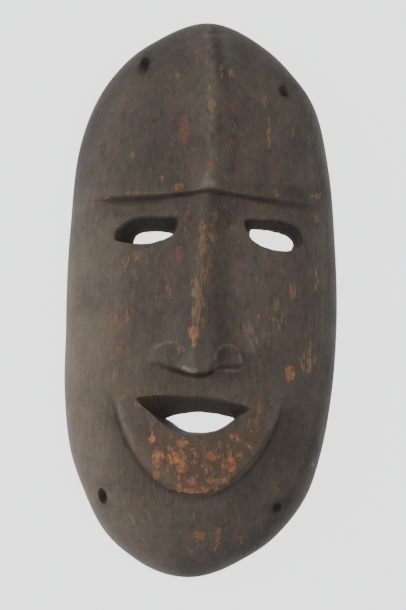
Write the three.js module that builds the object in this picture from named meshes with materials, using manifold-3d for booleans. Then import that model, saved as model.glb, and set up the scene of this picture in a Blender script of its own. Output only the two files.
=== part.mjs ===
// A carved wooden mask from New Guinea, cut from one block: a long oval shell with a hollow back.
// It lies face up on its back rim. Millimetres, +Z out of the face, +Y towards the crown.
// The origin is in the plane of the back rim, at the middle of the outline's box.

import * as THREE from "three";
import { mergeVertices, toCreasedNormals } from "three/addons/utils/BufferGeometryUtils.js";
import Module from "manifold-3d";

const wasm = await Module();
wasm.setup();

const { clamp, lerp, smoothstep } = THREE.MathUtils;

// The block: half sizes of the outline, the height of the plain shell and the roundness of its section
const HALF_WIDTH = 105;
const HALF_LENGTH = 215.5;
const SHELL_HEIGHT = 62;
const SHELL_ROUNDNESS = 2.3;

// The hollow behind the face: the width of the flat back rim and the thickness of the wall
const RIM_WIDTH = 11;
const WALL = 15;

// The outline seen from the front, anticlockwise from the widest point on the right
const OUTLINE = [
  [105, -15], [102, 45], [96, 100], [84, 149], [62, 180], [34, 203],
  [0, 215.5], [-37, 203], [-67, 180], [-87, 150], [-99, 112], [-104, 50],
  [-104.8, -25], [-104, -75], [-98, -120], [-87, -150], [-71, -180], [-45, -203],
  [-8, -215.5], [33, -203], [64, -180], [85, -150], [95, -118], [102, -75],
];

// Carving fades out between these shares of the way to the outline, so the flank stays plain.
const FACE_END = 0.84;
const FLANK_START = 0.985;

// The brow, a ledge with the forehead above it and the eyes below: x, then y of its foot and of its edge
const BROW = [
  [-84, 67.5, 69], [-68, 66, 70.1], [-50, 65.4, 70.6], [-30, 67.8, 71.8], [-9, 71.2, 74.3],
  [4, 72.3, 75.7], [20, 70.8, 74.1], [42, 67.9, 71.8], [62, 66.3, 70.5], [84, 67.5, 69.5],
];
// The ledge fades out between these distances to the left and to the right of the middle.
const BROW_LEFT_END = [60, 92];
const BROW_RIGHT_END = [58, 92];
const FOREHEAD_RAISE = 4.2;
const FOREHEAD_FADE = 90;
const EYE_RECESS = 3.2;
const EYE_RECESS_FADE = 50;
const NOSE_ROOT_SHARE = 0.6;

// The keel down the forehead, steeper on its left side, whose crest bends back to the middle at the top,
// and the small three-cornered boss at its foot
const KEEL_X = 8;
const KEEL_TOP_X = 3;
const KEEL_BEND = [150, 205];
const KEEL_TOP_Y = 204;
const KEEL_TOP_SLOPE = 6;
const KEEL_RAISE = 5.5;
const KEEL_LEFT = 11.5;
const KEEL_RIGHT = 12;
const BOSS_X = 2.5;
const BOSS_RAISE = 1.6;
const BOSS_HALF_WIDTH = 9;
const BOSS_LENGTH = 13;
const BOSS_SOFTNESS = 4;

// The nose: a long wedge that leans a little to the left, with a round tip and a low wing on each side
const NOSE_ROOT = { y: 72, x: 2.4, raise: 4, left: 11, right: 7.5 };
const NOSE_END = { y: -64, x: -1.6, raise: 18, left: 15, right: 11 };
const NOSE_SLOPE = 1.1;
const NOSE_TIP = { x: -2, y: -51, halfWidth: 11.5, halfLength: 20, raise: 20.5, round: 0.6 };
const LEFT_WING = { x: -24, y: -53.5, halfWidth: 14.5, halfLength: 14, raise: 4.8, round: 0.6 };
const RIGHT_WING = { x: 21.5, y: -53.5, halfWidth: 12, halfLength: 14, raise: 4.8, round: 0.6 };
const NOSE_BLEND = 3.5;
const UNDERSIDE = [
  [-44, -56], [-37, -57.3], [-26, -58.8], [-18, -61], [-11.5, -62.8], [-5, -64],
  [3, -63.9], [8, -61.7], [12, -59], [18, -57.5], [34, -57.3],
];
const UNDERSIDE_DEPTH = 4;

const CHEEK = { x: 54, y: -12, raise: 3, halfWidth: 26, halfLength: 55 };

// The jaw: a rise in the shape of a U round the mouth and chin, with a sharp groove along its foot
const JAW_X = -1;
const JAW_TOP_Y = -60;
const JAW_HALF_WIDTH = 65.5;
const JAW_LENGTH = 94.5;
const JAW_POINT = 1.86;
const JAW_EDGE = 10;
const JAW_RAISE = 4;
const JAW_FADE = [-100, -70];
const GROOVE_DEPTH = 4.4;
const GROOVE_OUTSIDE = 9;
const GROOVE_INSIDE = 3;
const GROOVE_FLOOR = 1.5;
const CHIN = { x: 0, y: -132, raise: 3, halfWidth: 34, halfLength: 24, inside: 12 };

// Eyes and mouth: the outline on the face and the one on the wall of the hollow, point for point,
// clockwise from the outer or left corner
const LEFT_EYE = {
  face: [
    [-68, 37.8], [-67, 44.5], [-62.5, 49], [-54, 54.6], [-42, 56.2], [-30, 56.2],
    [-20.4, 55.9], [-19.4, 50.5], [-22.5, 42.5], [-32, 36.8], [-44, 33.7], [-57, 34.7],
  ],
  back: [
    [-52.8, 34], [-52.3, 37.5], [-51, 40.4], [-47.5, 42.8], [-41, 44.3], [-32, 44.3],
    [-24, 43.4], [-22, 41], [-23.6, 37], [-30, 33], [-40, 29.6], [-50, 30],
  ],
};
const RIGHT_EYE = {
  face: [
    [29.5, 54.5], [40, 56], [50, 56.6], [61, 56], [69.5, 53], [75, 47.5],
    [76.3, 41.5], [73, 36], [66, 32.8], [55, 32], [44, 34.8], [34, 42],
  ],
  back: [
    [34.9, 48], [41, 48.7], [48, 48.4], [57, 46.9], [63.4, 44.6], [67.2, 41.6],
    [68, 38.5], [65.6, 33.2], [60.5, 29.6], [52, 28.4], [42.5, 31], [35.6, 39.5],
  ],
};
const MOUTH = {
  face: [
    [-47.5, -81.5], [-36, -78.9], [-22, -78.4], [-6, -78.6], [9, -79.2], [24, -81.8], [39, -87.3],
    [31, -92.6], [23.5, -99.8], [13, -105], [0, -108], [-13.5, -107.4], [-25.8, -101], [-37, -91.3],
  ],
  back: [
    [-25, -95.3], [-22, -94], [-16, -92.4], [-6, -91], [6, -91.1], [18, -92.4], [26.6, -94.4],
    [24, -97], [19.4, -100.4], [12, -103.8], [0, -105.6], [-10.6, -104.2], [-17, -100.4], [-21.6, -97.2],
  ],
};

// Lashing holes: the middle on the face, the half length and half width of the oval seen from the front,
// and the turn of its long axis from +X in degrees. They slant from the flank inwards to the hollow.
const LASHING_HOLES = [
  { at: [-49.8, 175], halfLength: 8, halfWidth: 3.9, turn: 80 },
  { at: [58, 157.5], halfLength: 5, halfWidth: 3.4, turn: 112 },
  { at: [-70.5, -155], halfLength: 6.2, halfWidth: 3.3, turn: 105 },
  { at: [61, -160], halfLength: 3.8, halfWidth: 3.3, turn: 60 },
];
const LASHING_SLANT = 1;
const LASHING_LENGTH = 24;

// How far a cutter runs on past the face and the hollow, as shares of its length inside the wall
const BEYOND_FACE = 0.8;
const BEYOND_HOLLOW = 0.25;

// How fine the grids are, and how far the surface may move when needless facets are joined
const FACE_COLUMNS = 84;
const FACE_ROWS = 140;
const HOLLOW_COLUMNS = 30;
const HOLLOW_ROWS = 44;
const FACET_TOLERANCE = 0.3;
const CREASE = THREE.MathUtils.degToRad(35);
const SLIT_POINTS = 28;
const LASHING_POINTS = 10;
const RIM_CROWDING = 1.25;

const UP = new THREE.Vector3(0, 0, 1);

const bell = (distance, width) => Math.exp(-((distance / width) ** 2));
const round = (form, x, y) => bell(x - form.x, form.halfWidth) * bell(y - form.y, form.halfLength);

// A smooth curve through knots [position, value], read between knots i and i + 1
function throughKnots([before, from, to, after], position) {
  const span = to[0] - from[0];
  const t = (position - from[0]) / span;
  const slopeFrom = ((to[1] - before[1]) / (to[0] - before[0])) * span;
  const slopeTo = ((after[1] - from[1]) / (after[0] - from[0])) * span;
  const ease = t * t * (3 - 2 * t);
  return (
    lerp(from[1], to[1], ease) + slopeFrom * t * (1 - t) ** 2 - slopeTo * t * t * (1 - t)
  );
}

// Each outline point as its angle and the factor by which it leaves the plain ellipse
const bulges = OUTLINE.map(([x, y]) => {
  const u = x / HALF_WIDTH;
  const v = y / HALF_LENGTH;
  return [Math.atan2(v, u), Math.hypot(u, v)];
}).sort((a, b) => a[0] - b[0]);

function bulgeAt(angle) {
  const count = bulges.length;
  const knot = (i) => {
    const [knotAngle, factor] = bulges[(i + count) % count];
    return [knotAngle + 2 * Math.PI * Math.floor(i / count), factor];
  };
  const next = bulges.findIndex(([knotAngle]) => knotAngle > angle);
  const i = next < 0 ? count - 1 : next - 1;
  return throughKnots([knot(i - 1), knot(i), knot(i + 1), knot(i + 2)], angle);
}

// How far a point lies from the middle of the oval towards its edge: 0 in the middle, 1 on the outline
function reach(x, y, halfWidth = HALF_WIDTH, halfLength = HALF_LENGTH) {
  const u = x / halfWidth;
  const v = y / halfLength;
  return Math.hypot(u, v) / bulgeAt(Math.atan2(v, u));
}

const shell = (share, height) =>
  height * Math.max(0, 1 - share ** SHELL_ROUNDNESS) ** (1 / SHELL_ROUNDNESS);

// Carved forms, each as a height added to the plain shell

// A smooth line through points, as a function of x that keeps its end values beyond them
function lineThrough(points) {
  const last = points.length - 1;
  const knot = (k) => {
    if (k < 0) return [2 * points[0][0] - points[1][0], points[0][1]];
    if (k > last) return [2 * points[last][0] - points[last - 1][0], points[last][1]];
    return points[k];
  };
  return (x) => {
    const at = clamp(x, points[0][0], points[last][0]);
    const next = points.findIndex(([knotX]) => knotX > at);
    const i = next < 0 ? last - 1 : next - 1;
    return throughKnots([knot(i - 1), knot(i), knot(i + 1), knot(i + 2)], at);
  };
}

const browFoot = lineThrough(BROW.map(([x, foot]) => [x, foot]));
const browEdge = lineThrough(BROW.map(([x, , edge]) => [x, edge]));
const aboveBrow = (x, y) => smoothstep(y, browFoot(x), browEdge(x));
const browPresence = (x) =>
  (1 - smoothstep(x, ...BROW_RIGHT_END)) * (1 - smoothstep(-x, ...BROW_LEFT_END));

function forehead(x, y) {
  const fade = 1 - smoothstep(y - browEdge(x), 0, FOREHEAD_FADE);
  return FOREHEAD_RAISE * aboveBrow(x, y) * browPresence(x) * fade;
}

function eyeRecess(x, y) {
  const fade = 1 - smoothstep(browFoot(x) - y, 0, EYE_RECESS_FADE);
  const besideNose = 1 - NOSE_ROOT_SHARE * bell(x - NOSE_ROOT.x, NOSE_ROOT.left);
  return -EYE_RECESS * (1 - aboveBrow(x, y)) * browPresence(x) * fade * besideNose;
}

function keel(x, y) {
  const dx = x - lerp(KEEL_X, KEEL_TOP_X, smoothstep(y, ...KEEL_BEND));
  const side = bell(dx, dx < 0 ? KEEL_LEFT : KEEL_RIGHT);
  const top = 1 - smoothstep(y, KEEL_TOP_Y - KEEL_TOP_SLOPE, KEEL_TOP_Y);
  const up = clamp((y - browEdge(x)) / BOSS_LENGTH, 0, 1);
  const past = Math.abs(x - BOSS_X) - BOSS_HALF_WIDTH * (1 - up);
  const boss = (1 - smoothstep(past, -BOSS_SOFTNESS, BOSS_SOFTNESS)) * (1 - smoothstep(up, 0.3, 1));
  return (KEEL_RAISE * side * top + BOSS_RAISE * boss) * aboveBrow(x, y);
}

function bridge(x, y) {
  const t = clamp((NOSE_ROOT.y - y) / (NOSE_ROOT.y - NOSE_END.y), 0, 1);
  const dx = x - lerp(NOSE_ROOT.x, NOSE_END.x, t);
  const side = dx < 0 ? "left" : "right";
  const raise = lerp(NOSE_ROOT.raise, NOSE_END.raise, t ** NOSE_SLOPE);
  return raise * bell(dx, lerp(NOSE_ROOT[side], NOSE_END[side], t)) * (1 - aboveBrow(x, y));
}

function lobe(form, x, y) {
  const out = ((x - form.x) / form.halfWidth) ** 2 + ((y - form.y) / form.halfLength) ** 2;
  return out < 1 ? form.raise * (1 - out) ** form.round : 0;
}

const undersideFoot = lineThrough(UNDERSIDE);

function nose(x, y) {
  const lobes = [NOSE_TIP, LEFT_WING, RIGHT_WING].map((form) => lobe(form, x, y));
  const blended = [bridge(x, y), ...lobes].reduce((sum, raise) => sum + raise ** NOSE_BLEND, 0);
  const foot = undersideFoot(x);
  return blended ** (1 / NOSE_BLEND) * smoothstep(y, foot, foot + UNDERSIDE_DEPTH);
}

const cheek = (x, y) => CHEEK.raise * round(CHEEK, Math.abs(x), y);

// How far inside the edge of the jaw a point lies, in millimetres; negative outside
function insideJaw(x, y) {
  const across = Math.abs(x - JAW_X) / JAW_HALF_WIDTH;
  const down = Math.max(0, JAW_TOP_Y - y) / JAW_LENGTH;
  const out = (across ** JAW_POINT + down ** JAW_POINT) ** (1 / JAW_POINT);
  return (1 - out) * JAW_HALF_WIDTH;
}

const jawPresence = (y) => 1 - smoothstep(y, ...JAW_FADE);

function jaw(x, y) {
  const inside = insideJaw(x, y);
  const rise = JAW_RAISE * (1 - (1 - clamp(inside / JAW_EDGE, 0, 1)) ** 2);
  const grooveWidth = inside < 0 ? GROOVE_OUTSIDE : GROOVE_INSIDE;
  const groove = GROOVE_DEPTH * Math.exp(-Math.abs(inside) / grooveWidth);
  const chin = CHIN.raise * round(CHIN, x, y) * smoothstep(inside, 0, CHIN.inside);
  return (rise - groove) * jawPresence(y) + chin;
}

function faceHeight(x, y) {
  const share = reach(x, y);
  const carving =
    forehead(x, y) + eyeRecess(x, y) + keel(x, y) + nose(x, y) + cheek(x, y) + jaw(x, y);
  return shell(share, SHELL_HEIGHT) + carving * (1 - smoothstep(share, FACE_END, FLANK_START));
}

const hollowHeight = (x, y) =>
  shell(reach(x, y, HALF_WIDTH - RIM_WIDTH, HALF_LENGTH - RIM_WIDTH), SHELL_HEIGHT - WALL);

// Steps in the carving, as the share of the way up: 0 along the foot, 1 along the edge.
// For the jaw they are the outer and inner sides of the groove's floor.
const STEPS = [
  {
    rise: (x, y) => (y - browFoot(x)) / (browEdge(x) - browFoot(x)),
    present: (x, y) => browPresence(x) > 0.05 && Math.abs(y - browFoot(x)) < 20,
  },
  {
    rise: (x, y) => 1 + insideJaw(x, y) / GROOVE_FLOOR,
    present: (x, y) => jawPresence(y) > 0.1 && Math.abs(insideJaw(x, y)) < 20,
  },
  {
    rise: (x, y) => (y - undersideFoot(x)) / UNDERSIDE_DEPTH,
    present: (x, y) =>
      x > LEFT_WING.x - LEFT_WING.halfWidth &&
      x < RIGHT_WING.x + RIGHT_WING.halfWidth &&
      Math.abs(y - undersideFoot(x)) < 20,
  },
];

// Meshes

// Positions from -1 to 1, closer together where the density is high
function spacedLines(count, density) {
  const steps = 2000;
  const sums = [0];
  for (let i = 0; i < steps; i++) sums.push(sums[i] + density(-1 + (2 * (i + 0.5)) / steps));
  const lines = [];
  let i = 0;
  for (let k = 0; k <= count; k++) {
    const target = (sums[steps] * k) / count;
    while (i < steps - 1 && sums[i + 1] < target) i++;
    const part = (target - sums[i]) / (sums[i + 1] - sums[i]);
    lines.push(-1 + (2 * (i + part)) / steps);
  }
  return lines;
}

// A grid of points bent into the oval, its outer lines lying on the outline and crowding towards it
function ovalGrid(halfWidth, halfLength, columns, rows) {
  return rows.map((b) =>
    columns.map((a) => {
      const u = a * Math.sqrt(1 - (b * b) / 2);
      const v = b * Math.sqrt(1 - (a * a) / 2);
      const out = Math.hypot(u, v);
      const crowd = out > 0 ? Math.sin(out * RIM_CROWDING) / Math.sin(RIM_CROWDING) / out : 1;
      const scale = bulgeAt(Math.atan2(v, u)) * crowd;
      return [u * scale * halfWidth, v * scale * halfLength];
    }),
  );
}

// Move a point across a step until its share of the way up is the wanted one.
function moveAcross(rise, wanted, [startX, startY]) {
  const near = 0.05;
  let x = startX;
  let y = startY;
  for (let turn = 0; turn < 4; turn++) {
    const off = wanted - rise(x, y);
    const slopeX = (rise(x + near, y) - rise(x - near, y)) / (2 * near);
    const slopeY = (rise(x, y + near) - rise(x, y - near)) / (2 * near);
    const scale = off / (slopeX ** 2 + slopeY ** 2);
    x += slopeX * scale;
    y += slopeY * scale;
  }
  return [x, y];
}

// Put the points on both sides of a step onto its foot and its edge, so that the step stays sharp.
// Where the grid is finer than the step, its points stay as they are.
function followSteps(grid) {
  const middle = 0.5;
  return grid.map((row, j) =>
    row.map((point, i) => {
      const neighbours = [row[i - 1], row[i + 1], grid[j - 1]?.[i], grid[j + 1]?.[i]];
      if (neighbours.includes(undefined)) return point;
      const step = STEPS.find(({ present }) => present(...point));
      if (!step) return point;
      const own = step.rise(...point);
      const wanted = own > middle ? 1 : 0;
      const rises = neighbours.map((p) => step.rise(...p));
      const crossed = rises.some((rise) => rise > middle !== own > middle);
      const between = rises.some((rise) => (rise - own) * (rise - wanted) < 0);
      return crossed && !between ? moveAcross(step.rise, wanted, point) : point;
    }),
  );
}

function toSolid(positions, triangles) {
  const geometry = new THREE.BufferGeometry();
  geometry.setAttribute("position", new THREE.Float32BufferAttribute(positions, 3));
  geometry.setIndex(triangles);
  const merged = mergeVertices(geometry, 1e-4);
  return new wasm.Manifold(
    new wasm.Mesh({
      numProp: 3,
      vertProperties: merged.attributes.position.array,
      triVerts: new Uint32Array(merged.index.array),
    }),
  );
}

const flatTriangles = (ring) =>
  THREE.ShapeUtils.triangulateShape(ring.map(([x, y]) => new THREE.Vector2(x, y)), []);

// A closed body: the grid raised to its heights, and a flat base that closes it
function domeSolid(grid, height, base) {
  const lastRow = grid.length - 1;
  const lastColumn = grid[0].length - 1;
  const index = (i, j) => i + j * (lastColumn + 1);
  const corners = grid.flatMap((row, j) =>
    row.map(([x, y], i) => {
      const onRim = i === 0 || j === 0 || i === lastColumn || j === lastRow;
      return [x, y, onRim ? base : Math.max(base + 0.5, height(x, y))];
    }),
  );
  const drop = (a, b) => Math.abs(corners[a][2] - corners[b][2]);
  const triangles = [];
  for (let j = 0; j < lastRow; j++) {
    for (let i = 0; i < lastColumn; i++) {
      const [p, q, r, s] = [index(i, j), index(i + 1, j), index(i + 1, j + 1), index(i, j + 1)];
      if (drop(p, r) < drop(q, s)) triangles.push(p, q, r, p, r, s);
      else triangles.push(p, q, s, q, r, s);
    }
  }
  const rim = [];
  for (let i = 0; i < lastColumn; i++) rim.push(index(i, 0));
  for (let j = 0; j < lastRow; j++) rim.push(index(lastColumn, j));
  for (let i = lastColumn; i > 0; i--) rim.push(index(i, lastRow));
  for (let j = lastRow; j > 0; j--) rim.push(index(0, j));
  for (const [p, q, r] of flatTriangles(rim.map((k) => corners[k]))) {
    triangles.push(rim[p], rim[r], rim[q]);
  }
  return toSolid(corners.flat(), triangles);
}

function smoothLoop(points, count) {
  const knots = points.map((p) => new THREE.Vector3(...p));
  const loop = new THREE.CatmullRomCurve3(knots, true, "centripetal");
  return Array.from({ length: count }, (_, i) => loop.getPoint(i / count));
}

// A solid that cuts a hole whose walls run straight from a ring on the face to one on the hollow
function holeCutter(faceRing, hollowRing) {
  const past = (from, to, share) => from.clone().addScaledVector(from.clone().sub(to), share);
  const front = faceRing.map((p, i) => past(p, hollowRing[i], BEYOND_FACE));
  const rear = hollowRing.map((p, i) => past(p, faceRing[i], BEYOND_HOLLOW));
  const count = faceRing.length;
  const triangles = [];
  for (let i = 0; i < count; i++) {
    const next = (i + 1) % count;
    triangles.push(i, count + i, next, next, count + i, count + next);
  }
  for (const [p, q, r] of flatTriangles(front)) triangles.push(p, q, r);
  for (const [p, q, r] of flatTriangles(rear)) triangles.push(count + p, count + r, count + q);
  return toSolid([...front, ...rear].flatMap((p) => p.toArray()), triangles);
}

function slitCutter({ face, back }) {
  const faceRing = face.map(([x, y]) => [x, y, faceHeight(x, y)]).reverse();
  const hollowRing = back.map(([x, y]) => [x, y, hollowHeight(x, y)]).reverse();
  return holeCutter(smoothLoop(faceRing, SLIT_POINTS), smoothLoop(hollowRing, SLIT_POINTS));
}

function lashingCutter({ at: [x, y], halfLength, halfWidth, turn }) {
  const inward = new THREE.Vector3(-x / HALF_WIDTH, -y / HALF_LENGTH, 0).normalize();
  const bore = inward.multiplyScalar(LASHING_SLANT).setZ(-1).normalize();
  const long = new THREE.Vector3(1, 0, 0).applyAxisAngle(UP, THREE.MathUtils.degToRad(turn));
  const wide = new THREE.Vector3().crossVectors(UP, long);
  const front = Array.from({ length: LASHING_POINTS }, (_, i) => {
    const angle = (2 * Math.PI * i) / LASHING_POINTS;
    const place = new THREE.Vector3(x, y, 0)
      .addScaledVector(long, halfLength * Math.cos(angle))
      .addScaledVector(wide, halfWidth * Math.sin(angle));
    return place.setZ(faceHeight(place.x, place.y));
  });
  const rear = front.map((place) => place.clone().addScaledVector(bore, LASHING_LENGTH));
  return holeCutter(front, rear);
}

const faceColumns = spacedLines(FACE_COLUMNS, (a) => 1 + bell(a, 0.25));
const faceRows = spacedLines(
  FACE_ROWS,
  (b) => 1 + 1.6 * bell(b - 0.27, 0.06) + bell(b + 0.22, 0.1) + 0.5 * bell(b + 0.5, 0.2),
);
const hollowColumns = spacedLines(HOLLOW_COLUMNS, () => 1);
const hollowRows = spacedLines(HOLLOW_ROWS, () => 1);

const faceGrid = followSteps(ovalGrid(HALF_WIDTH, HALF_LENGTH, faceColumns, faceRows));
const hollowGrid = ovalGrid(
  HALF_WIDTH - RIM_WIDTH,
  HALF_LENGTH - RIM_WIDTH,
  hollowColumns,
  hollowRows,
);
const cutters = [
  domeSolid(hollowGrid, hollowHeight, -5),
  ...[LEFT_EYE, RIGHT_EYE, MOUTH].map(slitCutter),
  ...LASHING_HOLES.map(lashingCutter),
];
const carved = cutters.reduce(
  (solid, cutter) => solid.subtract(cutter),
  domeSolid(faceGrid, faceHeight, 0),
);

const mesh = carved.simplify(FACET_TOLERANCE).getMesh();
const geometry = new THREE.BufferGeometry();
geometry.setAttribute("position", new THREE.BufferAttribute(mesh.vertProperties, 3));
geometry.setIndex(new THREE.BufferAttribute(mesh.triVerts, 1));

const wood = new THREE.MeshStandardMaterial({ color: 0x5a5048, roughness: 0.8, metalness: 0 });
const mask = new THREE.Mesh(toCreasedNormals(geometry, CREASE), wood);
mask.name = "mask";
const group = new THREE.Group();
group.add(mask);
export default group;
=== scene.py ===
"""A carved wooden mask lying face up on its back rim: fine carving, old painted wood and studio light.

Sizes are in mm in the shape functions and in metres in Blender.
+Z is out of the face, +Y towards the crown and +X to the right.
"""

import math

import bpy
import numpy as np
from mathutils import Matrix, Vector


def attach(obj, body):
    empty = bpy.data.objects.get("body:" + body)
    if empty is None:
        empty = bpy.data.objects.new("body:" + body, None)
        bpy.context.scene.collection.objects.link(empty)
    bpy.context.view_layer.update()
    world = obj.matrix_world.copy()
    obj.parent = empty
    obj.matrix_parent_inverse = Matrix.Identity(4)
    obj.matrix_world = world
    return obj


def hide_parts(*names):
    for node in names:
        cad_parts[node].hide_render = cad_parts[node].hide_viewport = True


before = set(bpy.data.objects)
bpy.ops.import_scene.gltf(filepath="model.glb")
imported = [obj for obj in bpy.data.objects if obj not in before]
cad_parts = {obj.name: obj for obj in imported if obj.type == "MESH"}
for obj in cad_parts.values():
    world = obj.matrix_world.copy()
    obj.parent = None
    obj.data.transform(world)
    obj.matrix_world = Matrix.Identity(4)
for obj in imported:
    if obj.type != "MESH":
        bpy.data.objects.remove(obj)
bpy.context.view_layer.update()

MM = 0.001
FULL_TURN = 2 * math.pi

# The block, as in the solid
HALF_WIDTH = 105.0
HALF_LENGTH = 215.5
SHELL_HEIGHT = 62.0
SHELL_ROUNDNESS = 2.3
RIM_WIDTH = 11.0
WALL = 15.0
OUTLINE = [
    (105, -15), (102, 45), (96, 100), (84, 149), (62, 180), (34, 203),
    (0, 215.5), (-37, 203), (-67, 180), (-87, 150), (-99, 112), (-104, 50),
    (-104.8, -25), (-104, -75), (-98, -120), (-87, -150), (-71, -180), (-45, -203),
    (-8, -215.5), (33, -203), (64, -180), (85, -150), (95, -118), (102, -75),
]
FACE_END = 0.84
FLANK_START = 0.985

# The brow: x, the foot of the ledge and its edge above it
BROW = [
    (-84, 67.5, 69), (-68, 66, 70.1), (-50, 65.4, 70.6), (-30, 67.8, 71.8), (-9, 71.2, 74.3),
    (4, 72.3, 75.7), (20, 70.8, 74.1), (42, 67.9, 71.8), (62, 66.3, 70.5), (84, 67.5, 69.5),
]
BROW_LEFT_END = (60.0, 92.0)
BROW_RIGHT_END = (58.0, 92.0)
FOREHEAD_RAISE = 4.2
FOREHEAD_FADE = 90.0
EYE_RECESS = 3.2
EYE_RECESS_FADE = 50.0
NOSE_ROOT_SHARE = 0.6

# The keel down the forehead, whose crest bends back to the middle at the top, and the boss at its foot
KEEL_X = 8.0
KEEL_TOP_X = 3.0
KEEL_BEND = (150.0, 205.0)
KEEL_TOP_Y = 204.0
KEEL_TOP_SLOPE = 6.0
KEEL_RAISE = 5.5
KEEL_LEFT = 11.5
KEEL_RIGHT = 12.0
BOSS_X = 2.5
BOSS_RAISE = 1.6
BOSS_HALF_WIDTH = 9.0
BOSS_LENGTH = 13.0
BOSS_SOFTNESS = 4.0
BOSS_FADE = (0.3, 1)

# The nose
NOSE_ROOT = dict(y=72.0, x=2.4, rise=4.0, left=11.0, right=7.5)
NOSE_END = dict(y=-64.0, x=-1.6, rise=18.0, left=15.0, right=11.0)
NOSE_SLOPE = 1.1
NOSE_TIP = dict(x=-2.0, y=-51.0, half_width=11.5, half_length=20.0, rise=20.5, roundness=0.6)
LEFT_WING = dict(x=-24.0, y=-53.5, half_width=14.5, half_length=14.0, rise=4.8, roundness=0.6)
RIGHT_WING = dict(x=21.5, y=-53.5, half_width=12.0, half_length=14.0, rise=4.8, roundness=0.6)
NOSE_BLEND = 3.5
UNDERSIDE = [
    (-44, -56), (-37, -57.3), (-26, -58.8), (-18, -61), (-11.5, -62.8), (-5, -64),
    (3, -63.9), (8, -61.7), (12, -59), (18, -57.5), (34, -57.3),
]
UNDERSIDE_DEPTH = 4.0

CHEEK = dict(x=54.0, y=-12.0, rise=3.0, half_width=26.0, half_length=55.0)

# The jaw: a step in the shape of a U, with a sharp groove at its foot
JAW_X = -1.0
JAW_TOP_Y = -60.0
JAW_HALF_WIDTH = 65.5
JAW_LENGTH = 94.5
JAW_POINT = 1.86
JAW_EDGE = 10.0
JAW_RAISE = 4.0
JAW_FADE = (-100.0, -70.0)
GROOVE_DEPTH = 4.4
GROOVE_OUTSIDE = 9.0
GROOVE_INSIDE = 3.0
CHIN = dict(x=0.0, y=-132.0, rise=3.0, half_width=34.0, half_length=24.0, inside=12.0)

# Eyes and mouth: the outline on the face and the one on the wall of the hollow, point for point
LEFT_EYE = dict(
    face=[
        (-68, 37.8), (-67, 44.5), (-62.5, 49), (-54, 54.6), (-42, 56.2), (-30, 56.2),
        (-20.4, 55.9), (-19.4, 50.5), (-22.5, 42.5), (-32, 36.8), (-44, 33.7), (-57, 34.7),
    ],
    back=[
        (-52.8, 34), (-52.3, 37.5), (-51, 40.4), (-47.5, 42.8), (-41, 44.3), (-32, 44.3),
        (-24, 43.4), (-22, 41), (-23.6, 37), (-30, 33), (-40, 29.6), (-50, 30),
    ],
)
RIGHT_EYE = dict(
    face=[
        (29.5, 54.5), (40, 56), (50, 56.6), (61, 56), (69.5, 53), (75, 47.5),
        (76.3, 41.5), (73, 36), (66, 32.8), (55, 32), (44, 34.8), (34, 42),
    ],
    back=[
        (34.9, 48), (41, 48.7), (48, 48.4), (57, 46.9), (63.4, 44.6), (67.2, 41.6),
        (68, 38.5), (65.6, 33.2), (60.5, 29.6), (52, 28.4), (42.5, 31), (35.6, 39.5),
    ],
)
MOUTH = dict(
    face=[
        (-47.5, -81.5), (-36, -78.9), (-22, -78.4), (-6, -78.6), (9, -79.2), (24, -81.8), (39, -87.3),
        (31, -92.6), (23.5, -99.8), (13, -105), (0, -108), (-13.5, -107.4), (-25.8, -101), (-37, -91.3),
    ],
    back=[
        (-25, -95.3), (-22, -94), (-16, -92.4), (-6, -91), (6, -91.1), (18, -92.4), (26.6, -94.4),
        (24, -97), (19.4, -100.4), (12, -103.8), (0, -105.6), (-10.6, -104.2), (-17, -100.4), (-21.6, -97.2),
    ],
)

# Lashing holes: middle on the face, half length, half width, and turn of the long axis from +X
LASHING_HOLES = [
    dict(at=(-49.8, 175), half_length=8.0, half_width=3.9, turn=80),
    dict(at=(58, 157.5), half_length=5.0, half_width=3.4, turn=112),
    dict(at=(-70.5, -155), half_length=6.2, half_width=3.3, turn=105),
    dict(at=(61, -160), half_length=3.8, half_width=3.3, turn=60),
]
LASHING_SLANT = 1.0
LASHING_LENGTH = 24.0
BEYOND_FACE = 0.8
BEYOND_HOLLOW = 0.25

# Hand work on the face and in the hollow: depths, widths and unevenness, in mm
LIP_DROP = 0.7
LIP_WIDTH = 1.8
FACET_DEPTH = 0.16
GRAIN_DEPTH = 0.06
WING_RIDGE = 0.3
WING_RIDGE_WIDTH = 1.1
CREASE_DEPTH = 0.8
CREASE_WIDTH = 1.0
CLEFT_WIDTH = 1.3
GOUGE_DEPTH = 0.7
SLIT_UNEVENNESS = 0.35
LASHING_UNEVENNESS = 0.2
# Where the work fades out: on the face towards the outline, and in the hollow towards its edge
FACE_WORK_FADE = (0.95, 1)
HOLLOW_WORK_FADE = (0.8, 1)
# The thin ridges round the tops of the nose's wings, which also carry a painted highlight
LEFT_ARC = [(-33, -43.5), (-30, -41.8), (-26.5, -40.1), (-22.8, -39.6), (-18.4, -39.9)]
RIGHT_ARC = [
    (10.9, -51.3), (11.4, -46.9), (13.2, -43.7), (16.8, -41), (21.8, -40.1),
    (26.1, -41.7), (29.3, -45), (30.1, -52.4),
]
# The painted highlight at the end of the nose, the cleft between it and the right wing, darkened with painted
# shade, and the lighter strip under that wing
NOSE_END_LINE = [(-12, -59.3), (-8.4, -60.9), (-4, -62)]
NOSE_CLEFT = [(8.1, -57), (8.9, -59.3), (7.4, -62)]
WING_STRIP = [(10, -59.6), (17.4, -59), (28.5, -59.4)]
# The knife's cut along the jaw, below the chin and up its right side, darkened with painted shade, and the
# ridge on its left side, which carries a painted highlight
JAW_CUT = [(-19, -149.5), (-6, -151.5), (8, -151), (28.5, -138.6), (46.6, -117), (53, -103)]
JAW_RIDGE = [(-59.5, -88), (-56, -99), (-52, -108), (-46.5, -120)]
SCRATCHES = [
    [(81, 75.5), (88, 79)], [(31.5, -25), (35, -35)], [(35, -22), (42, -38)], [(37, -36), (40, -46)],
    [(-50, -168), (-46, -174)], [(-37, -165), (-34, -171)], [(-64, -60), (-64, -68)],
]
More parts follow.
